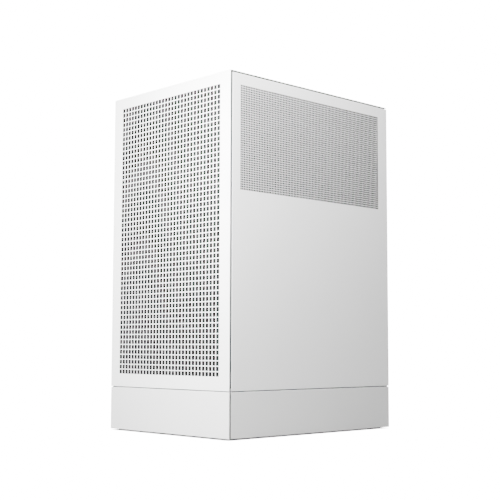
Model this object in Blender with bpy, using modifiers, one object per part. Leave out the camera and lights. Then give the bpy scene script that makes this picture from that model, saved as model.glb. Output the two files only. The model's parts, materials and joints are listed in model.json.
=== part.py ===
"""A compact desktop computer tower: a white sheet-metal case on a low plinth, with its working parts inside.

Metres, +Z up. The origin is the centre of the footprint, on the surface that the tower stands on.
The front faces -Y, and +X is on the right of somebody who looks at the front.
"""

import math

import bmesh
import bpy
from mathutils import Matrix, Vector

# Driving dimensions of the case.
WIDTH = 0.211
DEPTH = 0.271
HEIGHT = 0.404
PLINTH_TOP = 0.0513
PLINTH_WALL = 0.0025
LIP_INSET = 0.0015
FOOT_HEIGHT = 0.0015
SHEET = 0.0012
SEAM = 0.001
GAP = 0.0003
EDGE_ROUND = 0.0005

# Planes that the case's sheets stand on.
SIDE = WIDTH / 2
FRONT = -DEPTH / 2
BACK = DEPTH / 2
SIDE_INNER = SIDE - SHEET
BASE_BOTTOM = PLINTH_TOP + GAP
BASE_TOP = BASE_BOTTOM + SHEET
FRAME_BOTTOM = BASE_TOP + GAP
PANEL_BOTTOM = PLINTH_TOP + SEAM
FLANGE_BACK = FRONT + 0.0037  # the back edge of the front panel's folded flanges
FLANGE_INSET = 0.0022
SIDE_FRONT = FRONT + SHEET + 0.0024
ROOF_FRONT = FRONT + SHEET + SEAM
ROOF_SHEET = 0.0012
ROOF_BOTTOM = HEIGHT - ROOF_SHEET
SIDE_TOP = ROOF_BOTTOM - 0.0008
FRAME_TOP = SIDE_TOP + 0.0002
UPRIGHT_FRONT = FRONT + 0.004
UPRIGHT_BACK = UPRIGHT_FRONT + SHEET
WALL_INNER = BACK - 0.0039
WALL_OUTER = WALL_INNER + SHEET
FRAME_SIDE = SIDE - 0.0017
RAIL_INNER = 0.096
PAST = 0.01  # how far a cutter runs past the faces that it cuts

# Perforated fields, sunk by the depth of their stamping.
FIELD_SINK = 0.0002
FRONT_FIELD_HALF = 0.0905
FRONT_FIELD_LOW = 0.067
FRONT_FIELD_HIGH = 0.390
SIDE_FIELD_FRONT = FRONT + 0.014
SIDE_FIELD_BACK = BACK - 0.0155
SIDE_FIELD_LOW = 0.2710
SIDE_FIELD_HIGH = 0.3905
ROOF_FIELD_HALF = 0.088
ROOF_FIELD_FRONT = -0.085
ROOF_FIELD_BACK = 0.118

# Case fans: 120 mm frames, 25 mm deep.
FAN_SIZE = 0.120
FAN_DEPTH = 0.025
FAN_BORE = 0.058
FAN_HOLE_SPACING = 0.105
FRONT_FAN_Y = UPRIGHT_BACK + GAP + FAN_DEPTH / 2
LOWER_FAN_Z = FRAME_BOTTOM + 0.0006 + FAN_SIZE / 2
UPPER_FAN_Z = LOWER_FAN_Z + FAN_SIZE + GAP
REAR_FAN = (-0.038, WALL_INNER - GAP - FAN_DEPTH / 2, 0.205)

# Motherboard, 170 mm square, on edge with its parts facing -X.
TRAY_LEFT = 0.084
BOARD_FACE = 0.0760
BOARD_BACK = BOARD_FACE + 0.0015
BOARD_SIZE = 0.170
BOARD_Y = (WALL_INNER - 0.0026 - BOARD_SIZE, WALL_INNER - 0.0026)
BOARD_Z = (0.100, 0.100 + BOARD_SIZE)
ON_BOARD = BOARD_FACE - GAP
CPU_Y = 0.055
CPU_Z = 0.205
CPU_THICK = 0.0024
SOCKET_FACE = 0.0720
DIMM_Y = (-0.0210, -0.0110)
BOARD_HOLES = [
    (y, z)
    for y in (BOARD_Y[0] + 0.010, BOARD_Y[1] - 0.006)
    for z in (BOARD_Z[0] + 0.0064, BOARD_Z[1] - 0.0064)
]
APERTURE_X = (0.0323, 0.0768)
APERTURE_Z = (0.103, 0.262)

# Power supply, 63.5 x 100 x 125 mm, with its fan facing -X.
SUPPLY_X = (-0.1021, -0.0386)
SUPPLY_Y = (-0.095, 0.005)
SUPPLY_Z = (0.2705, 0.3955)
SUPPLY_FAN_BORE = 0.041

# Graphics card, lying flat with its fans facing down.
CARD_X = (-0.042, 0.0625)
CARD_Y = (-0.093, 0.1285)
CARD_Z = (0.060, 0.103)
CARD_FAN_X = 0.010
CARD_FAN_Y = (-0.031, 0.067)
CARD_FAN_BORE = 0.042
SLOT_PITCH = 0.02032
SLOT_LOW_Z = (0.0625, 0.0765)

# Mains inlet with its rocker switch, through the rear wall.
INLET_X = (-0.094, -0.062)
INLET_Z = (0.0565, 0.1045)
INLET_FRONT = 0.104
INLET_FACE = BACK - 0.0009
ROCKER_Z = 0.0915
ROCKER_LEAN = math.radians(10)

# Sockets and power button under the roof panel.
HOUSING_X = (-0.026, 0.062)
HOUSING_Y = (-0.122, -0.106)
HOUSING_BOTTOM = 0.388
BUTTON_X = 0.050
BUTTON_RADIUS = 0.006
PORT_Y = -0.114
PORT_USB_X = (0.012, 0.032)
PORT_USB_HALF = (0.0062, 0.0025)
PORT_C_X = (-0.0083, 0.0003)
PORT_AUDIO_X = -0.018

# Air filter that slides out of the back of the plinth.
FILTER_HALF = 0.073
FILTER_Z = (0.0052, 0.0087)

parts = bpy.data.collections.new("desktop_computer_tower")
cutters = bpy.data.collections.new("cutters")


def clear_scene():
    for obj in list(bpy.data.objects):
        bpy.data.objects.remove(obj, do_unlink=True)
    bpy.context.scene.collection.children.link(parts)
    bpy.context.scene.collection.children.link(cutters)


def finish(name, colour, roughness, metallic=0.0):
    """A Principled material."""
    made = bpy.data.materials.new(name)
    made.use_nodes = True
    shader = made.node_tree.nodes["Principled BSDF"]
    shader.inputs["Base Color"].default_value = (*colour, 1.0)
    shader.inputs["Roughness"].default_value = roughness
    shader.inputs["Metallic"].default_value = metallic
    made.diffuse_color = (*colour, 1.0)
    return made


WHITE_PAINT = finish("white_paint", (0.86, 0.86, 0.85), 0.45)
WHITE_STEEL = finish("white_steel", (0.78, 0.78, 0.77), 0.5)
WHITE_PLASTIC = finish("white_plastic", (0.80, 0.80, 0.79), 0.5)
BLACK_PLASTIC = finish("black_plastic", (0.03, 0.03, 0.03), 0.5)
BLACK_STEEL = finish("black_steel", (0.05, 0.05, 0.05), 0.45, 0.3)
RUBBER = finish("rubber", (0.06, 0.06, 0.06), 0.85)
CIRCUIT = finish("circuit", (0.05, 0.06, 0.06), 0.5)
ALUMINIUM = finish("aluminium", (0.75, 0.76, 0.77), 0.35, 1.0)
ZINC = finish("zinc", (0.6, 0.61, 0.62), 0.4, 1.0)
CABLE = finish("cable_jacket", (0.04, 0.04, 0.04), 0.6)
FILTER_MESH = finish("filter_mesh", (0.10, 0.10, 0.10), 0.8)


def box(low, high):
    """A box between two corners, as a step that adds it to a bmesh."""
    low, high = Vector(low), Vector(high)
    place = Matrix.LocRotScale((low + high) / 2, None, high - low)
    return lambda mesh: bmesh.ops.create_cube(mesh, size=1.0, matrix=place)


def turned_box(centre, size, turn):
    """A box about a centre, turned by a 4 x 4 rotation about the origin afterwards."""
    place = turn @ Matrix.LocRotScale(Vector(centre), None, Vector(size))
    return lambda mesh: bmesh.ops.create_cube(mesh, size=1.0, matrix=place)


def rod(start, end, radius, sides=16):
    """A cylinder between two points."""
    start, end = Vector(start), Vector(end)
    along = end - start
    place = Matrix.LocRotScale((start + end) / 2, along.to_track_quat("Z", "Y"), None)
    return lambda mesh: bmesh.ops.create_cone(
        mesh,
        cap_ends=True,
        segments=sides,
        radius1=radius,
        radius2=radius,
        depth=along.length,
        matrix=place,
    )


def object_of(name, shapes, origin=(0, 0, 0)):
    """An object that holds the given shapes, with its origin at a point of the tower."""
    mesh = bmesh.new()
    for add_shape in shapes:
        add_shape(mesh)
    bmesh.ops.translate(mesh, verts=mesh.verts, vec=-Vector(origin))
    data = bpy.data.meshes.new(name)
    mesh.to_mesh(data)
    mesh.free()
    obj = bpy.data.objects.new(name, data)
    obj.location = origin
    return obj


def combine(obj, operation, shapes):
    """A Boolean of the object with shapes given in the same coordinates as its own."""
    helper = object_of(f"{obj.name}_{operation.lower()}_{len(obj.modifiers)}", shapes)
    helper.hide_render = True
    helper.display_type = "WIRE"
    cutters.objects.link(helper)
    helper.parent = obj
    modifier = obj.modifiers.new(operation.title(), "BOOLEAN")
    modifier.object = helper
    modifier.operation = operation
    modifier.solver = "EXACT"
    modifier.use_self = True


def solid(name, base, look, cut=(), add=(), cut_last=(), origin=(0, 0, 0), rounded=0.0):
    """One sub-part: a base shape, less the first cuts, plus the added shapes, less the last cuts."""
    obj = object_of(name, [base], origin)
    obj.data.materials.append(look)
    parts.objects.link(obj)
    if rounded:
        bevel = obj.modifiers.new("Round", "BEVEL")
        bevel.width = rounded
        bevel.segments = 2
        bevel.limit_method = "ANGLE"
    shift = Matrix.Translation(-Vector(origin))
    for operation, shapes in (("DIFFERENCE", cut), ("UNION", add), ("DIFFERENCE", cut_last)):
        if shapes:
            combine(obj, operation, [moved(shape, shift) for shape in shapes])
    return obj


def moved(shape, shift):
    """The same shape, moved by a matrix."""

    def add_shape(mesh):
        made = shape(mesh)["verts"]
        bmesh.ops.transform(mesh, matrix=shift, verts=made)

    return add_shape


def smooth(obj):
    """Round faces shaded smooth, with edges over 40 degrees kept sharp."""
    obj.data.shade_smooth()
    obj.data.set_sharp_from_angle(angle=math.radians(40))


def rows(low, high, count):
    """The middles of a number of equal rows between two values."""
    step = (high - low) / count
    return [low + step * (i + 0.5) for i in range(count)]


# Case


def make_plinth():
    """A skirt of four walls: a lip inside its top, a groove beside each front corner, a slot at the rear."""
    reach = SIDE - PLINTH_WALL
    lip = box(
        (-SIDE + LIP_INSET, FRONT + LIP_INSET, PLINTH_TOP - PLINTH_WALL),
        (SIDE - LIP_INSET, BACK - LIP_INSET, PLINTH_TOP + SEAM + 0.0002),
    )
    groove_depth = 0.0012
    grooves = [
        box((x - groove_depth, FRONT + 0.0006, -PAST), (x + groove_depth, FRONT + 0.0028, HEIGHT))
        for x in (-SIDE, SIDE)
    ]
    inside = box(
        (-reach, FRONT + PLINTH_WALL, FOOT_HEIGHT - PAST),
        (reach, BACK - PLINTH_WALL, PLINTH_TOP + PAST),
    )
    clear = 0.0006
    filter_slot = box(
        (-FILTER_HALF - clear, BACK - PAST, FILTER_Z[0] - clear),
        (FILTER_HALF + clear, BACK + PAST, FILTER_Z[1] + clear),
    )
    solid(
        "plinth",
        box((-SIDE, FRONT, FOOT_HEIGHT), (SIDE, BACK, PLINTH_TOP)),
        WHITE_PLASTIC,
        add=[lip],
        cut_last=[inside, filter_slot, *grooves],
        rounded=EDGE_ROUND,
    )


def make_plinth_floor():
    """The plate that closes the plinth, with air slots and the two guides that the filter runs in."""
    edge = SIDE - PLINTH_WALL - GAP
    end = BACK - PLINTH_WALL - GAP
    top = FOOT_HEIGHT + PLINTH_WALL
    slots = [
        box((-0.060, y - 0.004, FOOT_HEIGHT - PAST), (0.060, y + 0.004, top + PAST))
        for y in rows(-0.105, 0.105, 14)
    ]
    guide_half = 0.0012
    guides = [
        box((x - guide_half, -0.122, top - PLINTH_WALL / 2), (x + guide_half, 0.118, FILTER_Z[1] + 0.003))
        for x in (-0.076, 0.076)
    ]
    solid(
        "plinth_floor",
        box((-edge, -end, FOOT_HEIGHT + GAP), (edge, end, top)),
        WHITE_PLASTIC,
        add=guides,
        cut_last=slots,
    )


def make_feet():
    for side, x in (("left", -0.085), ("right", 0.085)):
        for end, y in (("front", -0.114), ("rear", 0.114)):
            foot = solid(
                f"rubber_foot_{end}_{side}",
                rod((x, y, 0), (x, y, FOOT_HEIGHT), 0.010, 24),
                RUBBER,
                origin=(x, y, 0),
            )
            smooth(foot)


def make_filter():
    rim = 0.008
    front, back = -0.120, BACK - 0.0003
    tray = box((-FILTER_HALF, front, FILTER_Z[0]), (FILTER_HALF, back, FILTER_Z[1]))
    recess = box(
        (-FILTER_HALF + rim, front + rim, FILTER_Z[0] + 0.0008),
        (FILTER_HALF - rim, back - 2 * rim, FILTER_Z[1] + rim),
    )
    finger_pull = box((-0.015, back - 0.012, FILTER_Z[0] - rim), (0.015, back - 0.004, FILTER_Z[0] + 0.0018))
    solid("dust_filter", tray, FILTER_MESH, cut=[recess, finger_pull])


def make_chassis_base():
    slots = [
        box((-0.090, y - 0.004, BASE_BOTTOM - 0.01), (0.060, y + 0.004, BASE_TOP + 0.01))
        for y in rows(-0.095, 0.120, 15)
    ]
    reach = SIDE - PLINTH_WALL - GAP
    sheet = box((-reach, UPRIGHT_FRONT, BASE_BOTTOM), (reach, WALL_OUTER - GAP, BASE_TOP))
    solid("chassis_base", sheet, WHITE_STEEL, cut=slots)


def make_front_uprights():
    for name, side in (("left", -1), ("right", 1)):
        ends = sorted((side * 0.046, side * 0.097))
        bores = [
            rod((0, UPRIGHT_FRONT - PAST, z), (0, UPRIGHT_BACK + PAST, z), FAN_BORE, 48)
            for z in (LOWER_FAN_Z, UPPER_FAN_Z)
        ]
        solid(
            f"front_upright_{name}",
            box((ends[0], UPRIGHT_FRONT, FRAME_BOTTOM), (ends[1], UPRIGHT_BACK, FRAME_TOP)),
            BLACK_STEEL,
            cut=bores,
        )


def make_top_frame():
    """Two folded rails along the sides, joined by a bar behind the front panel."""
    start = UPRIGHT_BACK + GAP
    end = WALL_INNER - GAP
    folds = []
    for side in (-1, 1):
        lip = sorted((side * FRAME_SIDE, side * RAIL_INNER))
        web = sorted((side * FRAME_SIDE, side * (FRAME_SIDE - SHEET)))
        folds.append(box((lip[0], start, FRAME_TOP - SHEET), (lip[1], end, FRAME_TOP)))
        folds.append(box((web[0], start, FRAME_TOP - 0.006), (web[1], end, FRAME_TOP)))
    bar = box((-FRAME_SIDE, start, FRAME_TOP - 0.0048), (FRAME_SIDE, start + 0.0052, FRAME_TOP))
    solid("top_frame", bar, BLACK_STEEL, add=folds)


def make_rear_wall():
    x, _, z = REAR_FAN
    grille_radius = 0.0555
    bar_pitch = 0.0098
    slot_half = 0.0036
    openings = []
    for step in range(-5, 6):
        middle = z + step * bar_pitch
        reach = math.sqrt(grille_radius**2 - (step * bar_pitch) ** 2)
        openings.append(((x - reach, x + reach), (middle - slot_half, middle + slot_half)))
    for lift in (0, SLOT_PITCH):
        openings.append(((-0.043, 0.070), (SLOT_LOW_Z[0] + lift, SLOT_LOW_Z[1] + lift)))
    openings.append((APERTURE_X, APERTURE_Z))
    flange = 0.0025
    openings.append(((INLET_X[0] + flange, INLET_X[1] - flange), (INLET_Z[0] + flange, INLET_Z[1] - flange)))
    solid(
        "rear_wall",
        box((-FRAME_SIDE, WALL_INNER, FRAME_BOTTOM), (FRAME_SIDE, WALL_OUTER, FRAME_TOP)),
        WHITE_STEEL,
        cut=[
            box((across[0], WALL_INNER - PAST, up[0]), (across[1], WALL_OUTER + PAST, up[1]))
            for across, up in openings
        ],
    )


def make_tray():
    right = TRAY_LEFT + SHEET
    front, back = -0.055, WALL_INNER - GAP
    foot = box((TRAY_LEFT, front, FRAME_BOTTOM), (TRAY_LEFT + 0.011, back, FRAME_BOTTOM + SHEET))
    standoffs = [
        rod((BOARD_BACK + GAP, y, z), (right, y, z), 0.0028, 6) for y, z in BOARD_HOLES
    ]
    solid(
        "motherboard_tray",
        box((TRAY_LEFT, front, FRAME_BOTTOM), (right, back, 0.2715)),
        BLACK_STEEL,
        add=[foot, *standoffs],
        cut_last=[box((TRAY_LEFT - PAST, 0.030, 0.175), (right + PAST, 0.080, 0.212))],
    )


def make_front_panel():
    """A flat sheet with four flanges behind it, set in from its edges."""
    inner = FRONT + SHEET
    low, high = PANEL_BOTTOM + FLANGE_INSET, HEIGHT - FLANGE_INSET
    reach = SIDE - FLANGE_INSET
    flanges = box((-reach, FRONT + SHEET / 2, low), (reach, FLANGE_BACK, high))
    hollow = box((-reach + SHEET, inner, low + SHEET), (reach - SHEET, FLANGE_BACK + PAST, high - SHEET))
    field = box(
        (-FRONT_FIELD_HALF, FRONT - PAST, FRONT_FIELD_LOW),
        (FRONT_FIELD_HALF, FRONT + FIELD_SINK, FRONT_FIELD_HIGH),
    )
    solid(
        "front_panel",
        box((-SIDE, FRONT, PANEL_BOTTOM), (SIDE, inner, HEIGHT)),
        WHITE_PAINT,
        add=[flanges],
        cut_last=[hollow, field],
        rounded=0.0005,
    )


def make_side_panels():
    for name, side in (("left", -1), ("right", 1)):
        sheet = sorted((side * SIDE_INNER, side * SIDE))
        fold = sorted((side * 0.0985, side * (SIDE - SHEET / 2)))
        field = sorted((side * (SIDE - FIELD_SINK), side * (SIDE + PAST)))
        fold_low, fold_high = PANEL_BOTTOM + 0.003, SIDE_TOP - 0.009
        fold_front = FLANGE_BACK + 0.0008
        solid(
            f"side_panel_{name}",
            box((sheet[0], SIDE_FRONT, PANEL_BOTTOM), (sheet[1], BACK, SIDE_TOP)),
            WHITE_PAINT,
            add=[box((fold[0], fold_front, fold_low), (fold[1], fold_front + SHEET, fold_high))],
            cut_last=[
                box(
                    (field[0], SIDE_FIELD_FRONT, SIDE_FIELD_LOW),
                    (field[1], SIDE_FIELD_BACK, SIDE_FIELD_HIGH),
                )
            ],
        )


def make_roof():
    clear = 0.0004
    low, high = ROOF_BOTTOM - PAST, HEIGHT + PAST
    usb = [
        box(
            (x - PORT_USB_HALF[0] - clear, PORT_Y - PORT_USB_HALF[1] - clear, low),
            (x + PORT_USB_HALF[0] + clear, PORT_Y + PORT_USB_HALF[1] + clear, high),
        )
        for x in PORT_USB_X
    ]
    small_usb = box(
        (PORT_C_X[0] - clear / 2, PORT_Y - 0.0018, low),
        (PORT_C_X[1] + clear / 2, PORT_Y + 0.0018, high),
    )
    audio = rod((PORT_AUDIO_X, PORT_Y, low), (PORT_AUDIO_X, PORT_Y, high), 0.0021)
    button = rod((BUTTON_X, PORT_Y, low), (BUTTON_X, PORT_Y, high), BUTTON_RADIUS + GAP, 32)
    field = box(
        (-ROOF_FIELD_HALF, ROOF_FIELD_FRONT, HEIGHT - FIELD_SINK),
        (ROOF_FIELD_HALF, ROOF_FIELD_BACK, high),
    )
    solid(
        "top_panel",
        box((-SIDE, ROOF_FRONT, ROOF_BOTTOM), (SIDE, BACK, HEIGHT)),
        WHITE_PAINT,
        cut=[*usb, small_usb, audio, button, field],
        rounded=0.0005,
    )


# Fans, each modelled about its own axis on local Z


def make_fan_frame(name, centre, facing, look):
    half = FAN_SIZE / 2
    strut_turns = [math.radians(20 + 90 * i) for i in range(4)]
    hole = FAN_HOLE_SPACING / 2
    back = -FAN_DEPTH / 2
    struts = [
        turned_box((0.039, 0, back + 0.002), (0.044, 0.005, 0.004), Matrix.Rotation(turn, 4, "Z"))
        for turn in strut_turns
    ]
    frame = solid(
        name,
        box((-half, -half, back), (half, half, -back)),
        look,
        cut=[
            rod((0, 0, back - PAST), (0, 0, PAST - back), FAN_BORE, 48),
            *[
                rod((x, y, back - PAST), (x, y, PAST - back), 0.00215, 8)
                for x in (-hole, hole)
                for y in (-hole, hole)
            ],
        ],
        add=[rod((0, 0, back), (0, 0, back + 0.004), 0.0195, 24), *struts],
        rounded=0.003,
    )
    frame.location = centre
    frame.rotation_euler = facing
    return frame


def make_rotor(name, centre, turn, look, tip, depth, hub, blades=7):
    """A hub with pitched blades; local Z is its axis and points to the side that the air enters."""
    pitch = math.radians(38)
    root = hub * 0.8
    span = tip - root
    vanes = [
        turned_box(
            (0, 0, 0),
            (span, 0.0014, depth / math.sin(pitch) * 0.8),
            Matrix.Rotation(2 * math.pi * i / blades, 4, "Z")
            @ Matrix.Translation((root + span / 2, 0, 0))
            @ Matrix.Rotation(math.pi / 2 - pitch, 4, "X"),
        )
        for i in range(blades)
    ]
    rotor = solid(name, rod((0, 0, -depth / 2), (0, 0, depth / 2), hub, 32), look, add=vanes)
    rotor.location = centre
    rotor.rotation_euler = turn
    smooth(rotor)
    return rotor


TOWARDS_FRONT = (math.pi / 2, 0, 0)
TOWARDS_FLOOR = (math.pi, 0, 0)
TOWARDS_LEFT = (0, -math.pi / 2, 0)


def make_case_fans():
    places = {
        "front_fan_lower": (0, FRONT_FAN_Y, LOWER_FAN_Z),
        "front_fan_upper": (0, FRONT_FAN_Y, UPPER_FAN_Z),
        "rear_fan": REAR_FAN,
        "cpu_fan": (-0.0225, CPU_Y - 0.025 - GAP - FAN_DEPTH / 2, CPU_Z),
    }
    for name, centre in places.items():
        make_fan_frame(f"{name}_frame", centre, TOWARDS_FRONT, BLACK_PLASTIC)
        hub_middle = Vector(centre) + Vector((0, -0.0015, 0))
        make_rotor(
            f"{name}_rotor", hub_middle, TOWARDS_FRONT, BLACK_PLASTIC, tip=0.0562, depth=0.0175, hub=0.0185
        )


# Motherboard and what is plugged into it

REAR_PORTS = (
    # name, middle z, width along z, height along -x, and its opening: width, height, depth
    ("audio", 0.1185, 0.014, 0.0130, None),
    ("usb_low", 0.1375, 0.0150, 0.0160, (0.0126, 0.0052, 0.010)),
    ("network", 0.1582, 0.0162, 0.0140, (0.0118, 0.0084, 0.012)),
    ("usb_high", 0.1790, 0.0150, 0.0160, (0.0126, 0.0052, 0.010)),
    ("display", 0.1995, 0.0170, 0.0070, None),
    ("antenna", 0.2300, 0.0300, 0.0120, None),
)
PORT_FRONT = WALL_INNER - 0.022
PORT_FACE = WALL_OUTER - 0.0001
SINK = 0.0003  # how deep a joined shape reaches into the board


def port_block(z, width, height):
    low = (ON_BOARD - height, PORT_FRONT, z - width / 2)
    high = (BOARD_FACE + SINK, PORT_FACE, z + width / 2)
    return low, high


def make_motherboard():
    board = box((BOARD_FACE, BOARD_Y[0], BOARD_Z[0]), (BOARD_BACK, BOARD_Y[1], BOARD_Z[1]))
    into = BOARD_FACE + SINK
    added = [
        box((0.0645, 0.028, 0.1008), (into, 0.119, 0.1086)),
        box((0.0680, BOARD_Y[0] + 0.002, 0.190), (into, BOARD_Y[0] + 0.010, 0.242)),
        box((SOCKET_FACE, CPU_Y - 0.022, CPU_Z - 0.025), (into, CPU_Y + 0.022, CPU_Z + 0.025)),
        *[box((0.0700, y - 0.0035, 0.113), (into, y + 0.0035, 0.256)) for y in DIMM_Y],
    ]
    mouths = []
    for _, z, width, height, mouth in REAR_PORTS:
        low, high = port_block(z, width, height)
        added.append(box(low, high))
        if mouth:
            middle = (low[0] + high[0]) / 2
            mouths.append(
                box(
                    (middle - mouth[1] / 2, PORT_FACE - mouth[2], z - mouth[0] / 2),
                    (middle + mouth[1] / 2, PORT_FACE + 0.01, z + mouth[0] / 2),
                )
            )
    dimm_grooves = [
        box((0.0670, y - 0.0009, 0.117), (0.0735, y + 0.0009, 0.252)) for y in DIMM_Y
    ]
    holes = [
        rod((BOARD_FACE - PAST, y, z), (BOARD_BACK + PAST, y, z), 0.0019, 8) for y, z in BOARD_HOLES
    ]
    solid(
        "motherboard",
        board,
        CIRCUIT,
        add=added,
        cut_last=[*mouths, *dimm_grooves, *holes, box((0.060, 0.029, 0.1035), (0.0720, 0.118, 0.1061))],
    )


def make_io_shield():
    clear = 0.0005
    cuts = []
    for _, z, width, height, _ in REAR_PORTS:
        low, high = port_block(z, width, height)
        cuts.append(
            box(
                (low[0] - clear, WALL_INNER - PAST, low[2] - clear),
                (APERTURE_X[1] + PAST, WALL_OUTER + PAST, high[2] + clear),
            )
        )
    solid(
        "io_shield",
        box(
            (APERTURE_X[0] + GAP, WALL_INNER, APERTURE_Z[0] + GAP),
            (APERTURE_X[1] - GAP, WALL_INNER + 0.0008, APERTURE_Z[1] - GAP),
        ),
        ZINC,
        cut=cuts,
    )


def make_board_parts():
    cpu_face = SOCKET_FACE - GAP
    solid(
        "cpu",
        box((cpu_face - CPU_THICK, CPU_Y - 0.019, CPU_Z - 0.019), (cpu_face, CPU_Y + 0.019, CPU_Z + 0.019)),
        ALUMINIUM,
        rounded=0.0006,
    )
    for i, y in enumerate(DIMM_Y, 1):
        solid(
            f"ram_module_{i}",
            box((0.0425, y - 0.003, 0.1180), (0.0695, y + 0.003, 0.2510)),
            BLACK_STEEL,
            add=[box((0.0690, y - 0.0006, 0.1180), (0.0732, y + 0.0006, 0.2510))],
        )
    grooves = [
        box((0.0700, y - 0.0010, 0.11), (0.0726, y + 0.0010, 0.14)) for y in rows(0.006, 0.078, 9)
    ]
    solid("m2_drive", box((0.0716, 0.002, 0.1125), (ON_BOARD, 0.082, 0.1345)), ALUMINIUM, cut=grooves)
    fins = [box((0.040, 0.080, z - 0.0015), (0.0700, 0.100, z + 0.0015)) for z in rows(0.168, 0.262, 13)]
    solid("vrm_heatsink", box((0.0500, 0.0835, 0.165), (ON_BOARD, 0.0965, 0.265)), ALUMINIUM, cut=fins)
    cell = solid("coin_cell", rod((0.0725, 0.020, 0.256), (ON_BOARD, 0.020, 0.256), 0.010, 24), ZINC)
    smooth(cell)
    for i, (y, z) in enumerate(BOARD_HOLES, 1):
        screw = solid(
            f"board_screw_{i}",
            rod((BOARD_FACE - 0.0023, y, z), (ON_BOARD, y, z), 0.0034, 12),
            ZINC,
            add=[rod((BOARD_FACE - 0.001, y, z), (BOARD_BACK + 0.0001, y, z), 0.0015, 8)],
        )
        smooth(screw)


def make_cpu_heatsink():
    base_right = SOCKET_FACE - CPU_THICK - 2 * GAP
    half = 0.025
    slots = []
    for x in rows(-0.078, 0.033, 16):
        for side in (-1, 1):
            y = sorted((CPU_Y + side * 0.004, CPU_Y + side * 0.04))
            slots.append(box((x - 0.0026, y[0], CPU_Z - 0.07), (x + 0.0026, y[1], CPU_Z + 0.07)))
    pipes = [
        rod((0.030, CPU_Y + dy, CPU_Z + dz), (0.066, CPU_Y + dy, CPU_Z + dz), 0.003, 10)
        for dy in (-0.013, 0.013)
        for dz in (-0.012, 0.012)
    ]
    base_half = 0.020
    base = box(
        (base_right - 0.009, CPU_Y - base_half, CPU_Z - base_half),
        (base_right, CPU_Y + base_half, CPU_Z + base_half),
    )
    solid(
        "cpu_heatsink",
        box((-0.080, CPU_Y - half, CPU_Z - 0.060), (0.035, CPU_Y + half, CPU_Z + 0.060)),
        ALUMINIUM,
        cut=slots,
        add=[base, *pipes],
    )


# Power supply


def make_power_supply():
    wall = 0.001
    y = sum(SUPPLY_Y) / 2
    z = sum(SUPPLY_Z) / 2
    left, right = SUPPLY_X
    inside = box(
        (left + wall, SUPPLY_Y[0] + wall, SUPPLY_Z[0] + wall),
        (right - wall, SUPPLY_Y[1] - wall, SUPPLY_Z[1] - wall),
    )
    air_in = rod((left - PAST, y, z), (left + PAST, y, z), SUPPLY_FAN_BORE, 40)
    motor_half = 0.012
    motor = box((left + 0.018, y - motor_half, z - motor_half), (right, y + motor_half, z + motor_half))
    mains = box((-0.090, SUPPLY_Y[0] - PAST, 0.2745), (-0.068, SUPPLY_Y[0] + PAST, 0.2905))
    leads = box((-0.099, SUPPLY_Y[1] - PAST, 0.290), (-0.043, SUPPLY_Y[1] + PAST, 0.306))
    solid(
        "psu_case",
        box((left, SUPPLY_Y[0], SUPPLY_Z[0]), (right, SUPPLY_Y[1], SUPPLY_Z[1])),
        BLACK_STEEL,
        cut=[inside, air_in],
        add=[motor],
        cut_last=[mains, leads],
    )
    make_rotor(
        "psu_fan_rotor",
        (left + 0.0095, y, z),
        TOWARDS_LEFT,
        BLACK_PLASTIC,
        tip=0.0395,
        depth=0.0135,
        hub=0.0165,
        blades=9,
    )
    make_supply_guard(left - 0.0018, left - GAP, y, z)
    bracket_y = (SUPPLY_Y[0] - GAP - SHEET, SUPPLY_Y[0] - GAP)
    solid(
        "psu_bracket",
        box((-0.1022, bracket_y[0], 0.386), (-0.0370, bracket_y[1], 0.3995)),
        BLACK_STEEL,
        add=[box((-0.0470, bracket_y[0], 0.2705), (-0.0370, bracket_y[1], 0.390))],
    )
    solid(
        "ac_plug",
        box((-0.092, -0.118, 0.2725), (-0.066, SUPPLY_Y[0] - GAP, 0.2925)),
        BLACK_PLASTIC,
        rounded=0.002,
    )


def make_supply_guard(outer, inner, y, z):
    """A wire guard over the power supply's fan: a ring, a middle disc and two crossed bars."""
    ring, disc, bar_reach, bar_half = 0.044, 0.015, 0.043, 0.001
    guard = solid(
        "psu_fan_guard",
        rod((outer, y, z), (inner, y, z), ring, 40),
        ZINC,
        cut=[rod((outer - PAST, y, z), (inner + PAST, y, z), ring - 0.002, 40)],
        add=[
            rod((outer, y, z), (inner, y, z), disc, 24),
            box((outer, y - bar_reach, z - bar_half), (inner, y + bar_reach, z + bar_half)),
            box((outer, y - bar_half, z - bar_reach), (inner, y + bar_half, z + bar_reach)),
        ],
    )
    smooth(guard)


# Graphics card


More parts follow.
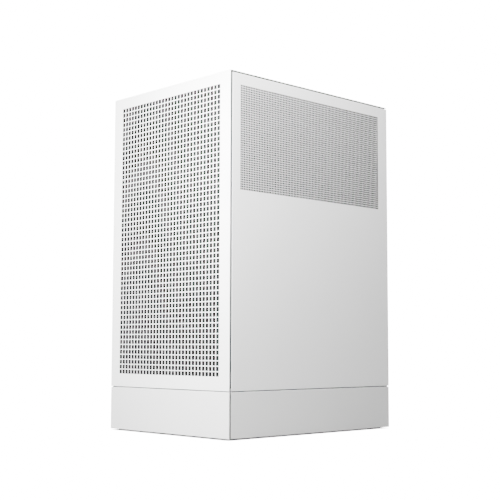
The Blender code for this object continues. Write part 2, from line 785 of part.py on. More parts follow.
def make_graphics_card():
    wall = 0.002
    bores = [
        rod((CARD_FAN_X, y, CARD_Z[0] - PAST), (CARD_FAN_X, y, CARD_Z[0] + PAST), CARD_FAN_BORE, 40)
        for y in CARD_FAN_Y
    ]
    solid(
        "gpu_shroud",
        box((CARD_X[0], CARD_Y[0], CARD_Z[0]), (CARD_X[1], CARD_Y[1], CARD_Z[1])),
        BLACK_PLASTIC,
        cut=[
            box(
                (CARD_X[0] + wall, CARD_Y[0] + wall, CARD_Z[0] + wall),
                (CARD_X[1] - wall, CARD_Y[1] - wall, CARD_Z[1] + PAST),
            ),
            *bores,
            box((CARD_X[0] - PAST, -0.020, 0.090), (CARD_X[0] + PAST, 0.010, CARD_Z[1] + PAST)),
        ],
        rounded=0.002,
    )
    for name, y in zip(("front", "rear"), CARD_FAN_Y):
        make_rotor(
            f"gpu_fan_rotor_{name}",
            (CARD_FAN_X, y, CARD_Z[0] + 0.0066),
            TOWARDS_FLOOR,
            BLACK_PLASTIC,
            tip=0.0405,
            depth=0.0115,
            hub=0.0165,
            blades=9,
        )
    slots = [
        box((-0.05, y - 0.0030, 0.0765), (0.07, y + 0.0030, 0.0995)) for y in rows(-0.086, 0.121, 23)
    ]
    plug_room = box((-0.05, -0.0185, 0.0910), (-0.0280, 0.0085, 0.11))
    solid(
        "gpu_heatsink",
        box((-0.038, -0.088, 0.0775), (0.0585, 0.1235, 0.1035)),
        ALUMINIUM,
        cut=[*slots, plug_room],
    )
    solid(
        "gpu_board",
        box((-0.0360, -0.085, 0.1040), (0.0635, 0.1285, 0.1056)),
        CIRCUIT,
        add=[
            box((0.0630, 0.030, 0.1040), (0.0715, 0.117, 0.1056)),
            box((-0.0405, -0.018, 0.0915), (-0.0285, 0.008, 0.1045)),
        ],
    )
    solid("gpu_backplate", box((-0.0400, -0.093, 0.1059), (0.0600, 0.1285, 0.1075)), BLACK_STEEL)
    ports = [
        box((x - 0.008, CARD_Y[1] + 0.001, 0.0870), (x + 0.008, PORT_FACE, 0.0935))
        for x in rows(-0.034, 0.062, 4)
    ]
    solid(
        "gpu_bracket",
        box((-0.0450, CARD_Y[1] + GAP, 0.0590), (0.0745, CARD_Y[1] + GAP + SHEET, 0.0990)),
        ZINC,
        add=ports,
    )


# Mains inlet, sockets and drive


def make_inlet():
    x = sum(INLET_X) / 2
    rim = 0.003
    body = box(
        (INLET_X[0] + rim, INLET_FRONT, INLET_Z[0] + rim),
        (INLET_X[1] - rim, WALL_OUTER + 0.001, INLET_Z[1] - rim),
    )
    pin_half, pin_root, pin_tip = 0.002, INLET_FACE - 0.018, INLET_FACE - 0.004
    pins = [
        box((x + dx - pin_half, pin_root, z - 0.001), (x + dx + pin_half, pin_tip, z + 0.001))
        for dx, z in ((-0.007, 0.0670), (0.007, 0.0670), (0.0, 0.0725))
    ]
    socket = box((x - 0.0120, INLET_FACE - 0.0165, 0.0605), (x + 0.0120, INLET_FACE + PAST, 0.0765))
    pocket = box(
        (x - 0.0098, INLET_FACE - 0.0120, ROCKER_Z - 0.0078),
        (x + 0.0098, INLET_FACE + PAST, ROCKER_Z + 0.0078),
    )
    inlet = solid(
        "ac_inlet",
        box((INLET_X[0], WALL_OUTER + GAP, INLET_Z[0]), (INLET_X[1], INLET_FACE, INLET_Z[1])),
        BLACK_PLASTIC,
        add=[body],
        cut_last=[socket, pocket],
    )
    combine(inlet, "UNION", pins)
    rocker = solid(
        "ac_rocker",
        box((-0.0092, -0.0045, -0.0062), (0.0092, 0.0036, 0.0062)),
        BLACK_PLASTIC,
        rounded=0.0012,
    )
    rocker.location = (x, INLET_FACE - 0.0045, ROCKER_Z)
    rocker.rotation_euler = (-ROCKER_LEAN, 0, 0)


def make_front_sockets():
    top = ROOF_BOTTOM - GAP
    high = top + PAST
    usb_mouths = [
        box(
            (x - PORT_USB_HALF[0], PORT_Y - PORT_USB_HALF[1], top - 0.009),
            (x + PORT_USB_HALF[0], PORT_Y + PORT_USB_HALF[1], high),
        )
        for x in PORT_USB_X
    ]
    solid(
        "io_housing",
        box((HOUSING_X[0], HOUSING_Y[0], HOUSING_BOTTOM), (HOUSING_X[1], HOUSING_Y[1], top)),
        BLACK_PLASTIC,
        cut=[
            *usb_mouths,
            box((PORT_C_X[0], PORT_Y - 0.0016, top - 0.006), (PORT_C_X[1], PORT_Y + 0.0016, high)),
            rod((PORT_AUDIO_X, PORT_Y, top - 0.012), (PORT_AUDIO_X, PORT_Y, high), 0.0018, 12),
            rod((BUTTON_X, PORT_Y, top - 0.0115), (BUTTON_X, PORT_Y, high), BUTTON_RADIUS + GAP, 32),
        ],
    )
    shelf_top = HOUSING_BOTTOM - GAP
    shelf_low = shelf_top - SHEET
    shelf_y = (-0.124, -0.104)
    solid(
        "io_bracket",
        box((-0.030, shelf_y[0], shelf_low), (0.0955, shelf_y[1], shelf_top)),
        BLACK_STEEL,
        add=[box((0.0943, shelf_y[0], shelf_low), (0.0955, shelf_y[1], FRAME_TOP - SHEET))],
    )
    button = solid(
        "power_button",
        rod((BUTTON_X, PORT_Y, top - 0.0080), (BUTTON_X, PORT_Y, HEIGHT - 0.0001), BUTTON_RADIUS, 32),
        WHITE_PLASTIC,
        origin=(BUTTON_X, PORT_Y, top),
        rounded=0.0006,
    )
    smooth(button)


def make_sata_drive():
    left = TRAY_LEFT + SHEET + GAP
    solid("sata_drive", box((left, -0.045, 0.095), (left + 0.007, 0.055, 0.165)), BLACK_STEEL, rounded=0.001)


# Cables inside the case


def smooth_route(points, step):
    """Points along a Catmull-Rom curve through the given ones, about a step apart."""
    stops = [Vector(p) for p in points]
    stops = [2 * stops[0] - stops[1], *stops, 2 * stops[-1] - stops[-2]]
    route = []
    for before, start, end, after in zip(stops, stops[1:], stops[2:], stops[3:]):
        count = max(1, round((end - start).length / step))
        for i in range(count):
            t = i / count
            bend = 2 * before - 5 * start + 4 * end - after
            twist = 3 * start - before - 3 * end + after
            route.append(start + 0.5 * t * (end - before + t * (bend + t * twist)))
    return [*route, stops[-2]]


def make_cable(name, radius, points):
    route = smooth_route(points, 5 * radius)
    curve = bpy.data.curves.new(name, "CURVE")
    curve.dimensions = "3D"
    spline = curve.splines.new("POLY")
    spline.points.add(len(route) - 1)
    for point, place in zip(spline.points, route):
        point.co = (*place, 1.0)
    curve.bevel_depth = radius
    curve.bevel_resolution = 2
    curve.use_fill_caps = True
    curve.materials.append(CABLE)
    parts.objects.link(bpy.data.objects.new(name, curve))


def make_cables():
    make_cable(
        "ac_extension_cable",
        0.0034,
        [
            (-0.079, -0.108, 0.2720),
            (-0.079, -0.108, 0.240),
            (-0.081, -0.107, 0.170),
            (-0.084, -0.106, 0.105),
            (-0.086, -0.095, 0.070),
            (-0.088, -0.060, 0.0600),
            (-0.088, 0.000, 0.0590),
            (-0.086, 0.050, 0.0600),
            (-0.078, 0.084, 0.0700),
            (-0.078, 0.1030, 0.0700),
        ],
    )
    make_cable(
        "board_power_cable",
        0.0052,
        [
            (-0.055, -0.0055, 0.298),
            (-0.055, 0.012, 0.300),
            (-0.046, 0.028, 0.308),
            (-0.026, 0.026, 0.306),
            (-0.010, 0.004, 0.292),
            (0.000, -0.025, 0.272),
            (0.016, -0.040, 0.245),
            (0.046, -0.0350, 0.216),
            (0.0674, -0.0350, 0.216),
        ],
    )
    make_cable(
        "gpu_power_cable",
        0.0040,
        [
            (-0.092, -0.0055, 0.298),
            (-0.0935, 0.010, 0.297),
            (-0.0945, 0.022, 0.286),
            (-0.0945, 0.026, 0.262),
            (-0.0945, 0.020, 0.200),
            (-0.0940, 0.008, 0.150),
            (-0.0860, -0.002, 0.120),
            (-0.0640, -0.005, 0.098),
            (-0.0411, -0.005, 0.098),
        ],
    )


clear_scene()
make_plinth()
make_plinth_floor()
make_feet()
make_filter()
make_chassis_base()
make_front_uprights()
make_top_frame()
make_rear_wall()
make_tray()
make_front_panel()
make_side_panels()
make_roof()
make_case_fans()
make_motherboard()
make_io_shield()
make_board_parts()
make_cpu_heatsink()
make_power_supply()
make_graphics_card()
make_inlet()
make_front_sockets()
make_sata_drive()
make_cables()
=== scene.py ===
"""Looks for the desktop computer tower: perforated sheets, finishes for every part, light and camera."""

import json
import math

import bmesh
import bpy
import numpy as np
from mathutils import Matrix, Vector


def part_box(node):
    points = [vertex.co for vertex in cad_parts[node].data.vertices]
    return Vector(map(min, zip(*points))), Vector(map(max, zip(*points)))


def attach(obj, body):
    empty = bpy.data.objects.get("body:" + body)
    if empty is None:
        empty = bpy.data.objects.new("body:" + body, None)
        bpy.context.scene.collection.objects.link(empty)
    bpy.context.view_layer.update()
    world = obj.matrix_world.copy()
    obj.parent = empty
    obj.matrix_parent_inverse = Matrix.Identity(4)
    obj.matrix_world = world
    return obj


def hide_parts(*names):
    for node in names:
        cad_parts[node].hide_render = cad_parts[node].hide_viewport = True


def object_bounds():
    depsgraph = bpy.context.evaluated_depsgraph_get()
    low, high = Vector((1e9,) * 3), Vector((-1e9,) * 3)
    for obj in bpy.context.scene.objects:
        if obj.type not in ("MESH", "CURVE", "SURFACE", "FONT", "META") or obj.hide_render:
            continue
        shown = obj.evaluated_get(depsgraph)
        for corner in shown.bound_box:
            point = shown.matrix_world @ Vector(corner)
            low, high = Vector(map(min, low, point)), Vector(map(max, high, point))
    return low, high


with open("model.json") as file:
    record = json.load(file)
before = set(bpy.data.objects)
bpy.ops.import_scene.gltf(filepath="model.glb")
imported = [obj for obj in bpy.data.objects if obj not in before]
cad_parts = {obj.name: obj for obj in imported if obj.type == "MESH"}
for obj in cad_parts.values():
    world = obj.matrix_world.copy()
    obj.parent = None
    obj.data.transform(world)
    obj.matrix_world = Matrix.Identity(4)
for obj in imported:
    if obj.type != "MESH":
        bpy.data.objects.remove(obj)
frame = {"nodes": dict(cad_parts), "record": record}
CAD_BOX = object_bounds()
LOW, HIGH = (Vector(corner) for corner in CAD_BOX)

# Painted sheet steel, thinner where it is drawn than the solids that it stands for.
SHEET = 0.0006
EDGE_ROUND = 0.0003
FLANGE_INSET = 0.0022  # from the front panel's outline to its folded flanges
SIDE_FOLD_FRONT = 0.0009  # from a side panel's front edge to its fold
SIDE_FOLD_LOW = 0.003
SIDE_FOLD_HIGH = 0.009

# The finishes of a sheet's faces, by material index: the painted outer face, then painted shade on the hole
# walls and inner face, on the folds, and on the dark backing behind the holes.
PAINTED, HOLE_SHADE, FOLD_SHADE, SHADE_BACKING_FACE = range(4)

# Perforation of the front, across and up: almost square holes.
FRONT_PITCH = (0.00577, 0.00589)
FRONT_HOLE = (0.0047, 0.0050)
FRONT_COLUMNS = 31
FRONT_ROWS = 55
FRONT_TOP_ROW = 0.0159  # from the top of the case to the middle of the first row

# Perforation of the sides and the roof: fine square holes.
FINE_PITCH = 0.00256
FINE_HOLE = 0.0021
SIDE_COLUMNS = 93
SIDE_ROWS = 46
SIDE_FRONT_MARGIN = 0.0152
SIDE_TOP_MARGIN = 0.0144
ROOF_COLUMNS = 67
ROOF_ROWS = 78
ROOF_FIELD_MIDDLE = 0.0165
BACKING = (SHEET + 0.0001, SHEET + 0.0003)  # a dark sheet behind the holes, painted shade for the dim inside of the case, from the outer face
BACKING_MARGIN = 0.002

# Openings in the roof, beside the perforation.
PORT_Y = -0.114
USB_X = (0.012, 0.032)
USB_SIZE = (0.0132, 0.0058)
SMALL_USB_X = -0.004
SMALL_USB_SIZE = (0.0090, 0.0036)
AUDIO_X = -0.018
AUDIO_RADIUS = 0.0021
BUTTON_X = 0.050
BUTTON_HOLE = 0.0063
THROUGH_ROOF = 0.02  # length of a round cutter


# Materials

CLOUD_SCALE = 14.0
CLOUD_DETAIL = 4.0
GLOSS_SPREAD = 0.08
GRAIN_HEIGHT = 0.0002
EDGE_WEAR_RADIUS = 0.0004
EDGE_WEAR_LEAN = (0.98, 0.80)  # cosine between the true and the rounded normal: no wear, full wear
# Painted shade: how far ambient occlusion looks, and its values from clear to closed in, for darkening
# crevices, seams and holes.
CREVICE_REACH = 0.003
CREVICE_CLOSED = 0.50
CREVICE_CLEAR = 0.85


def add_grain(nodes, links, shader, where, scale, strength):
    """A fine bump over the whole surface."""
    fine = nodes.new("ShaderNodeTexNoise")
    fine.inputs["Scale"].default_value = scale
    fine.inputs["Detail"].default_value = 2.0
    relief = nodes.new("ShaderNodeBump")
    relief.inputs["Strength"].default_value = strength
    relief.inputs["Distance"].default_value = GRAIN_HEIGHT
    links.new(where.outputs["Object"], fine.inputs["Vector"])
    links.new(fine.outputs["Fac"], relief.inputs["Height"])
    links.new(relief.outputs["Normal"], shader.inputs["Normal"])


def edge_mask(nodes, links, radius):
    """Near 1 along outer edges and 0 on flat faces, from how far a rounded normal leans away."""
    rounded = nodes.new("ShaderNodeBevel")
    rounded.inputs["Radius"].default_value = radius
    rounded.samples = 4
    flat = nodes.new("ShaderNodeNewGeometry")
    lean = nodes.new("ShaderNodeVectorMath")
    lean.operation = "DOT_PRODUCT"
    links.new(rounded.outputs["Normal"], lean.inputs[0])
    links.new(flat.outputs["Normal"], lean.inputs[1])
    mask = nodes.new("ShaderNodeMapRange")
    mask.inputs["From Min"].default_value, mask.inputs["From Max"].default_value = EDGE_WEAR_LEAN
    links.new(lean.outputs["Value"], mask.inputs["Value"])
    return mask.outputs["Result"]


def crevice_mask(nodes, links, reach, closed, clear):
    """1 where things within reach close a surface in, and 0 where it is clear."""
    around = nodes.new("ShaderNodeAmbientOcclusion")
    around.inputs["Distance"].default_value = reach
    around.samples = 8
    mask = nodes.new("ShaderNodeMapRange")
    mask.inputs["From Min"].default_value = clear
    mask.inputs["From Max"].default_value = closed
    links.new(around.outputs["AO"], mask.inputs["Value"])
    return mask.outputs["Result"]


def mix_colour(nodes, links, factor, under, over):
    """A colour socket that goes from one colour socket to a fixed colour as the factor rises."""
    mix = nodes.new("ShaderNodeMix")
    mix.data_type = "RGBA"
    mix.inputs["B"].default_value = (*over, 1.0)
    links.new(factor, mix.inputs["Factor"])
    links.new(under, mix.inputs["A"])
    return mix.outputs["Result"]


def material(
    name,
    colour,
    roughness,
    metallic=0.0,
    specular=0.5,
    vary=0.03,
    grain=900.0,
    bump=0.05,
    worn=None,
    crevice_shade=None,
):
    """A Principled material with cloudy colour, uneven gloss and a fine grain.

    Its edges can be worn to another colour, and its crevices darkened with painted shade, near black where
    ambient occlusion closes them in.
    """
    made = bpy.data.materials.new(name)
    made.use_nodes = True
    made.diffuse_color = (*colour, 1.0)
    nodes, links = made.node_tree.nodes, made.node_tree.links
    shader = nodes["Principled BSDF"]
    shader.inputs["Metallic"].default_value = metallic
    shader.inputs["Specular IOR Level"].default_value = specular
    where = nodes.new("ShaderNodeTexCoord")
    cloud = nodes.new("ShaderNodeTexNoise")
    cloud.inputs["Scale"].default_value = CLOUD_SCALE
    cloud.inputs["Detail"].default_value = CLOUD_DETAIL
    tint = nodes.new("ShaderNodeValToRGB")
    tint.color_ramp.elements[0].color = (*(c * (1.0 - vary) for c in colour), 1.0)
    tint.color_ramp.elements[1].color = (*colour, 1.0)
    gloss = nodes.new("ShaderNodeMapRange")
    gloss.inputs["To Min"].default_value = roughness - GLOSS_SPREAD
    gloss.inputs["To Max"].default_value = roughness + GLOSS_SPREAD
    links.new(where.outputs["Object"], cloud.inputs["Vector"])
    links.new(cloud.outputs["Fac"], tint.inputs["Fac"])
    links.new(cloud.outputs["Fac"], gloss.inputs["Value"])
    links.new(gloss.outputs["Result"], shader.inputs["Roughness"])
    colour_out = tint.outputs["Color"]
    if worn:
        edges = edge_mask(nodes, links, EDGE_WEAR_RADIUS)
        colour_out = mix_colour(nodes, links, edges, colour_out, worn)
    # Painted shade: the colour darkens towards near black where ambient occlusion finds the surface closed
    # in.
    if crevice_shade:
        shade_mask = crevice_mask(nodes, links, CREVICE_REACH, CREVICE_CLOSED, CREVICE_CLEAR)
        colour_out = mix_colour(nodes, links, shade_mask, colour_out, crevice_shade)
    links.new(colour_out, shader.inputs["Base Color"])
    add_grain(nodes, links, shader, where, grain, bump)
    return made


# Painted shade for crevices, seams and holes.
SHADE_IN_CREVICES = (0.06, 0.06, 0.06)

LOOKS = {
    "white_paint": material(
        "powder_coat", (0.86, 0.86, 0.855), 0.48, vary=0.02, grain=1400.0, bump=0.12, crevice_shade=SHADE_IN_CREVICES
    ),
    "white_steel": material(
        "coated_steel", (0.74, 0.74, 0.735), 0.5, grain=1400.0, bump=0.12, worn=(0.66, 0.66, 0.65)
    ),
    "white_plastic": material(
        "moulded_white", (0.74, 0.74, 0.735), 0.5, vary=0.02, grain=2200.0, bump=0.08, crevice_shade=SHADE_IN_CREVICES
    ),
    "black_plastic": material(
        "moulded_black",
        (0.020, 0.020, 0.021),
        0.42,
        vary=0.2,
        grain=2200.0,
        bump=0.15,
        worn=(0.03, 0.03, 0.03),
    ),
    "black_steel": material(
        "black_coat", (0.045, 0.045, 0.047), 0.45, vary=0.1, grain=1400.0, bump=0.2, worn=(0.05, 0.05, 0.05)
    ),
    "rubber": material(
        "rubber", (0.030, 0.030, 0.030), 0.85, vary=0.2, grain=700.0, bump=0.2, worn=(0.05, 0.05, 0.05)
    ),
    "circuit": material("solder_mask", (0.020, 0.026, 0.024), 0.38, vary=0.25, grain=500.0, bump=0.25),
    "aluminium": material("aluminium", (0.72, 0.73, 0.74), 0.36, metallic=1.0, vary=0.06, grain=1100.0),
    "zinc": material("zinc_plate", (0.58, 0.59, 0.60), 0.38, metallic=1.0, vary=0.12, grain=300.0),
    "cable_jacket": material("cable_sleeve", (0.022, 0.022, 0.023), 0.6, vary=0.2, grain=1600.0, bump=0.4),
    "filter_mesh": material("nylon_mesh", (0.05, 0.05, 0.05), 0.8, vary=0.2, grain=1800.0, bump=0.5),
}
# Painted shade: dark and grey colours that stand in for the shadow on hole walls and inner faces, on folds,
# and behind the holes.
SHADE_LOOKS = {
    HOLE_SHADE: material(
        "hole_wall_painted_shade", (0.03, 0.03, 0.03), 0.8, specular=0.1, vary=0.1, grain=1400.0, bump=0.1
    ),
    FOLD_SHADE: material("sheet_fold_painted_shade", (0.14, 0.14, 0.14), 0.6, vary=0.1, grain=1400.0, bump=0.1),
    SHADE_BACKING_FACE: material(
        "hole_backing_painted_shade", (0.016, 0.016, 0.016), 0.9, specular=0.05, vary=0.3, grain=2500.0, bump=0.3
    ),
}


def dress_nodes():
    """Every carried-over node takes the finish of its material slot."""
    for part in frame["record"]["subparts"]:
        node = frame["nodes"][part["node"]]
        node.data.materials.clear()
        node.data.materials.append(LOOKS[part["material_slot"]])


# Sheets with square and rectangular openings


def lines_between(low, high, spans):
    """Grid lines from low to high that include both ends of each span."""
    return sorted({low, high, *(round(end, 7) for span in spans for end in span)})


def centred_spans(middle, pitch, count, width):
    """The spans of a row of equal holes about a middle."""
    first = middle - pitch * (count - 1) / 2
    return [(first + pitch * i - width / 2, first + pitch * i + width / 2) for i in range(count)]


def edge_spans(low, high, radius):
    """Lines inside each end, for a rounded edge."""
    outer_line = radius * 0.3
    return [(low + outer_line, low + radius), (high - radius, high - outer_line)]


def edge_drop(grid, lines, radius):
    """How far the surface falls away near the ends of a grid direction, along a quarter circle."""
    near = np.minimum(grid - lines[0], lines[-1] - grid).clip(0, radius)
    return radius - np.sqrt(radius**2 - (radius - near) ** 2)


def sheet_mesh(name, across, up, is_open, thick, radius):
    """A flat sheet from grid lines. Its outer face is at y = 0, and y grows inwards.

    is_open takes arrays of cell middles (u, v) and says which cells are cut out.
    The outer face is painted. The inner face and the walls of the holes take the hole's painted shade, dark
    in place of the shadow that falls there.
    """
    across, up = np.array(across), np.array(up)
    columns, rows = len(across), len(up)
    u, v = np.meshgrid(across, up, indexing="ij")
    drop = (edge_drop(u, across, radius) + edge_drop(v, up, radius)).clip(0, radius)
    outer = np.stack([u, drop, v], axis=-1).reshape(-1, 3)
    inner = np.stack([u, np.full_like(u, thick), v], axis=-1).reshape(-1, 3)
    mid_u, mid_v = np.meshgrid((across[1:] + across[:-1]) / 2, (up[1:] + up[:-1]) / 2, indexing="ij")
    solid = ~is_open(mid_u, mid_v)
    count = columns * rows
    index = np.arange(count).reshape(columns, rows)
    a, b, c, d = index[:-1, :-1], index[1:, :-1], index[1:, 1:], index[:-1, 1:]
    front = np.stack([a, b, c, d], axis=-1)[solid]
    back = np.stack([a, d, c, b], axis=-1)[solid] + count
    padded = np.pad(solid, 1)
    inside = np.pad(np.ones_like(solid), 1)
    walls, wall_looks = [], []
    # Each side of a cell: the shift to its neighbour, and the two corners of the shared edge.
    for du, dv, first, second in ((0, -1, a, b), (1, 0, b, c), (0, 1, c, d), (-1, 0, d, a)):
        here = (slice(1 + du, du + columns), slice(1 + dv, dv + rows))
        edge = solid & ~padded[here]
        start, end = second[edge], first[edge]
        walls.append(np.stack([start, end, end + count, start + count], axis=-1))
        wall_looks.append(np.where(inside[here][edge], HOLE_SHADE, PAINTED))
    faces = np.concatenate([front, back, *walls])
    looks = np.concatenate([np.full(len(front), PAINTED), np.full(len(back), HOLE_SHADE), *wall_looks])
    used, faces = np.unique(faces, return_inverse=True)
    points = np.concatenate([outer, inner])[used]
    mesh = bpy.data.meshes.new(name)
    mesh.from_pydata(points.tolist(), [], faces.reshape(-1, 4).tolist())
    mesh.polygons.foreach_set("material_index", looks)
    mesh.update()
    return mesh


def field_test(columns, rows):
    """Says which cells lie in one of the column spans and one of the row spans."""

    def inside(values, spans):
        starts, ends = np.array(spans).T
        return ((values[..., None] > starts) & (values[..., None] < ends)).any(-1)

    return lambda u, v: inside(u, columns) & inside(v, rows)


def add_box(mesh, low, high, look):
    """A box joined into a mesh, in the mesh's own coordinates and with one of its finishes."""
    low, high = Vector(low), Vector(high)
    build = bmesh.new()
    place = Matrix.LocRotScale((low + high) / 2, None, high - low)
    bmesh.ops.create_cube(build, size=1.0, matrix=place)
    for face in build.faces:
        face.material_index = look
    build.from_mesh(mesh)
    build.to_mesh(mesh)
    build.free()


def add_backing(mesh, columns, rows):
    """A thin dark sheet that closes a field of holes from behind, painted shade for the dim inside of the
    case.
    """
    low = (columns[0][0] - BACKING_MARGIN, BACKING[0], rows[0][0] - BACKING_MARGIN)
    high = (columns[-1][1] + BACKING_MARGIN, BACKING[1], rows[-1][1] + BACKING_MARGIN)
    add_box(mesh, low, high, SHADE_BACKING_FACE)


def show(name, mesh, look, body, nodes, place=Matrix.Identity(4)):
    """Puts a mesh in the scene as a piece that stands for CAD nodes."""
    obj = bpy.data.objects.new(name, mesh)
    bpy.context.scene.collection.objects.link(obj)
    mesh.transform(place)
    if place.determinant() < 0:
        mesh.flip_normals()
    mesh.materials.append(LOOKS[look])
    for shade_look in SHADE_LOOKS.values():
        mesh.materials.append(shade_look)
    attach(obj, body)
    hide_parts(*nodes)
    return obj


def make_front_panel():
    low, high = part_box("front_panel")
    columns = centred_spans(0.0, FRONT_PITCH[0], FRONT_COLUMNS, FRONT_HOLE[0])
    middle_row = HIGH.z - FRONT_TOP_ROW - FRONT_PITCH[1] * (FRONT_ROWS - 1) / 2
    rows = centred_spans(middle_row, FRONT_PITCH[1], FRONT_ROWS, FRONT_HOLE[1])
    mesh = sheet_mesh(
        "front_panel_sheet",
        lines_between(low.x, high.x, columns + edge_spans(low.x, high.x, EDGE_ROUND)),
        lines_between(low.z, high.z, rows + edge_spans(low.z, high.z, EDGE_ROUND)),
        field_test(columns, rows),
        SHEET,
        EDGE_ROUND,
    )
    add_backing(mesh, columns, rows)
    depth = high.y - low.y
    reach = high.x - FLANGE_INSET
    bottom, top = low.z + FLANGE_INSET, high.z - FLANGE_INSET
    # The folded flanges take painted shade, grey as if in the shadow behind the front sheet.
    for side in (-1, 1):
        x = sorted((side * reach, side * (reach - SHEET)))
        add_box(mesh, (x[0], SHEET, bottom), (x[1], depth, top), FOLD_SHADE)
    for z in (bottom, top - SHEET):
        add_box(mesh, (SHEET - reach, SHEET, z), (reach - SHEET, depth, z + SHEET), FOLD_SHADE)
    place = Matrix.Translation((0, low.y, 0))
    show("front_grille", mesh, "white_paint", "front_panel", ["front_panel"], place)


def make_side_panels():
    first_column = LOW.y + SIDE_FRONT_MARGIN + FINE_PITCH / 2
    columns = centred_spans(
        first_column + FINE_PITCH * (SIDE_COLUMNS - 1) / 2, FINE_PITCH, SIDE_COLUMNS, FINE_HOLE
    )
    top_row = HIGH.z - SIDE_TOP_MARGIN - FINE_PITCH / 2
    rows = centred_spans(top_row - FINE_PITCH * (SIDE_ROWS - 1) / 2, FINE_PITCH, SIDE_ROWS, FINE_HOLE)
    for name, side in (("left", -1), ("right", 1)):
        node = f"side_panel_{name}"
        low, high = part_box(node)
        mesh = sheet_mesh(
            f"{node}_sheet",
            lines_between(low.y, high.y, columns + edge_spans(low.y, high.y, EDGE_ROUND)),
            lines_between(low.z, high.z, rows + edge_spans(low.z, high.z, EDGE_ROUND)),
            field_test(columns, rows),
            SHEET,
            EDGE_ROUND,
        )
        add_backing(mesh, columns, rows)
        # The fold behind the front edge takes painted shade, grey as if in the shadow of the gap.
        fold = low.y + SIDE_FOLD_FRONT
        fold_low = (fold, SHEET, low.z + SIDE_FOLD_LOW)
        fold_high = (fold + SHEET, high.x - low.x, high.z - SIDE_FOLD_HIGH)
        add_box(mesh, fold_low, fold_high, FOLD_SHADE)
        # Local x runs along the tower's +Y, and local y from the outer face inwards.
        place = Matrix(((0, -side, 0, side * HIGH.x), (1, 0, 0, 0), (0, 0, 1, 0), (0, 0, 0, 1)))
        show(f"side_sheet_{name}", mesh, "white_paint", node, [node], place)


def cut_round(obj, middle, radius, reach):
    """Cuts a round hole along Z through a closed mesh."""
    build = bmesh.new()
    bmesh.ops.create_cone(
        build,
        cap_ends=True,
        segments=48,
        radius1=radius,
        radius2=radius,
        depth=reach,
        matrix=Matrix.Translation(middle),
    )
    mesh = bpy.data.meshes.new("hole")
    build.to_mesh(mesh)
    build.free()
    cut_with(obj, mesh)


def cut_with(obj, mesh):
    """Takes a closed mesh out of an object for good."""
    cutter = bpy.data.objects.new("cutter", mesh)
    bpy.context.scene.collection.objects.link(cutter)
    modifier = obj.modifiers.new("cut", "BOOLEAN")
    modifier.object = cutter
    modifier.operation = "DIFFERENCE"
    modifier.solver = "MANIFOLD"
    bpy.context.view_layer.update()
    graph = bpy.context.evaluated_depsgraph_get()
    cut = bpy.data.meshes.new_from_object(obj.evaluated_get(graph))
    obj.modifiers.clear()
    old = obj.data
    obj.data = cut
    bpy.data.meshes.remove(old)
    bpy.data.objects.remove(cutter, do_unlink=True)
    bpy.data.meshes.remove(mesh)


def make_roof():
    low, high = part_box("top_panel")
    columns = centred_spans(0.0, FINE_PITCH, ROOF_COLUMNS, FINE_HOLE)
    rows = centred_spans(ROOF_FIELD_MIDDLE, FINE_PITCH, ROOF_ROWS, FINE_HOLE)
    ports = [(x, USB_SIZE) for x in USB_X]
    ports.append((SMALL_USB_X, SMALL_USB_SIZE))
    slots = [
        ((x - width / 2, x + width / 2), (PORT_Y - depth / 2, PORT_Y + depth / 2))
        for x, (width, depth) in ports
    ]
    across = columns + edge_spans(low.x, high.x, EDGE_ROUND) + [slot[0] for slot in slots]
    along = rows + edge_spans(low.y, high.y, EDGE_ROUND) + [slot[1] for slot in slots]
    in_field = field_test(columns, rows)

    def is_open(u, v):
        found = in_field(u, v)
        for (x0, x1), (y0, y1) in slots:
            found |= (u > x0) & (u < x1) & (v > y0) & (v < y1)
        return found

    mesh = sheet_mesh(
        "top_panel_sheet",
        lines_between(low.x, high.x, across),
        lines_between(low.y, high.y, along),
        is_open,
        SHEET,
        EDGE_ROUND,
    )
    add_backing(mesh, columns, rows)
    # Local z runs along the tower's +Y, and local y from the top face down.
    place = Matrix(((1, 0, 0, 0), (0, 0, 1, 0), (0, -1, 0, high.z), (0, 0, 0, 1)))
    roof = show("roof_sheet", mesh, "white_paint", "top_panel", ["top_panel"], place)
    cut_round(roof, (BUTTON_X, PORT_Y, high.z), BUTTON_HOLE, THROUGH_ROOF)
    cut_round(roof, (AUDIO_X, PORT_Y, high.z), AUDIO_RADIUS, THROUGH_ROOF)


# Stage

BACKDROP_GLOW = 17.0
FLOOR_COLOUR = (0.14, 0.14, 0.14)
FLOOR_GLOW = 20.0
FLOOR_SHARE = 0.85
FLOOR_SIZE = 60.0
SHADOW_REACH = 0.006
SHADOW_CLOSED = 0.2
SHADOW_CLEAR = 0.8
AMBIENT = 0.08
LIGHTS = (
    # name, place, target, size, power in watts
    ("front_softbox", (0.10, -0.62, 0.38), (0.0, 0.0, 0.20), 0.40, 9.0),
    ("edge_softbox", (0.12, -0.36, 0.34), (0.10, -0.1355, 0.24), 0.20, 5.5),
    ("corner_softbox", (0.30, -0.50, 0.56), (0.0, 0.0, 0.20), 0.30, 11.0),
    ("top_softbox", (0.34, -0.08, 0.68), (0.0, 0.0, 0.20), 0.30, 5.0),
    ("rear_softbox", (-0.55, 0.70, 0.55), (0.0, 0.0, 0.20), 0.50, 26.0),
)


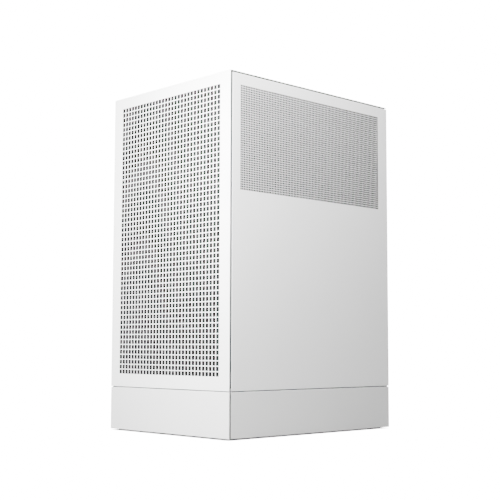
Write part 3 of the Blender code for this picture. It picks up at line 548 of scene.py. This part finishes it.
def floor_material():
    """A pale paper floor, lifted towards white where it is seen directly, but not right under the case,
    where ambient occlusion leaves a painted contact shadow.
    """
    made = material("pale_floor", FLOOR_COLOUR, 0.9, vary=0.01, bump=0.02)
    nodes, links = made.node_tree.nodes, made.node_tree.links
    shadow = crevice_mask(nodes, links, SHADOW_REACH, SHADOW_CLOSED, SHADOW_CLEAR)
    glow = nodes.new("ShaderNodeEmission")
    glow.inputs["Strength"].default_value = FLOOR_GLOW
    path = nodes.new("ShaderNodeLightPath")
    share = nodes.new("ShaderNodeMath")
    share.operation = "MULTIPLY"
    lift = nodes.new("ShaderNodeMapRange")
    lift.inputs["To Min"].default_value = FLOOR_SHARE
    lift.inputs["To Max"].default_value = 0.0
    mix = nodes.new("ShaderNodeMixShader")
    links.new(shadow, lift.inputs["Value"])
    links.new(lift.outputs["Result"], share.inputs[1])
    links.new(path.outputs["Is Camera Ray"], share.inputs[0])
    links.new(share.outputs["Value"], mix.inputs["Fac"])
    links.new(nodes["Principled BSDF"].outputs["BSDF"], mix.inputs[1])
    links.new(glow.outputs["Emission"], mix.inputs[2])
    links.new(mix.outputs["Shader"], nodes["Material Output"].inputs["Surface"])
    return made


def make_world():
    """White where it is seen directly, and a soft even light for everything else."""
    world = bpy.data.worlds.new("studio")
    bpy.context.scene.world = world
    world.use_nodes = True
    nodes, links = world.node_tree.nodes, world.node_tree.links
    nodes.clear()
    path = nodes.new("ShaderNodeLightPath")
    mix = nodes.new("ShaderNodeMixShader")
    out = nodes.new("ShaderNodeOutputWorld")
    links.new(path.outputs["Is Camera Ray"], mix.inputs["Fac"])
    for socket, strength in ((1, AMBIENT), (2, BACKDROP_GLOW)):
        background = nodes.new("ShaderNodeBackground")
        background.inputs["Color"].default_value = (1, 1, 1, 1)
        background.inputs["Strength"].default_value = strength
        links.new(background.outputs["Background"], mix.inputs[socket])
    links.new(mix.outputs["Shader"], out.inputs["Surface"])


def make_stage():
    bpy.ops.mesh.primitive_plane_add(size=FLOOR_SIZE, location=(0, 0, 0))
    floor = bpy.context.object
    floor.name = "floor"
    floor.data.materials.append(floor_material())
    make_world()
    for light in LIGHTS:
        add_area(*light)


def add_area(name, place, target, size, power):
    light = bpy.data.lights.new(name, "AREA")
    light.shape = "SQUARE"
    light.size = size
    light.energy = power
    obj = bpy.data.objects.new(name, light)
    obj.location = place
    obj.rotation_euler = (Vector(target) - Vector(place)).to_track_quat("-Z", "Y").to_euler()
    bpy.context.scene.collection.objects.link(obj)


CAMERA_PLACE = (0.93799, -0.90309, 0.09989)
CAMERA_LIFT = math.radians(5.267)
CAMERA_TURN = math.radians(46.211)
CAMERA_ROLL = math.radians(0.166)
CAMERA_LENS = 75.66


def make_camera():
    camera = bpy.data.cameras.new("camera")
    camera.sensor_width = 36.0
    camera.lens = CAMERA_LENS
    obj = bpy.data.objects.new("camera", camera)
    turn = (
        Matrix.Rotation(CAMERA_TURN, 3, "Z")
        @ Matrix.Rotation(math.pi / 2 + CAMERA_LIFT, 3, "X")
        @ Matrix.Rotation(CAMERA_ROLL, 3, "Z")
    )
    obj.location = CAMERA_PLACE
    obj.rotation_euler = turn.to_euler()
    bpy.context.scene.collection.objects.link(obj)
    bpy.context.scene.camera = obj


make_camera()
make_stage()
dress_nodes()
make_front_panel()
make_side_panels()
make_roof()
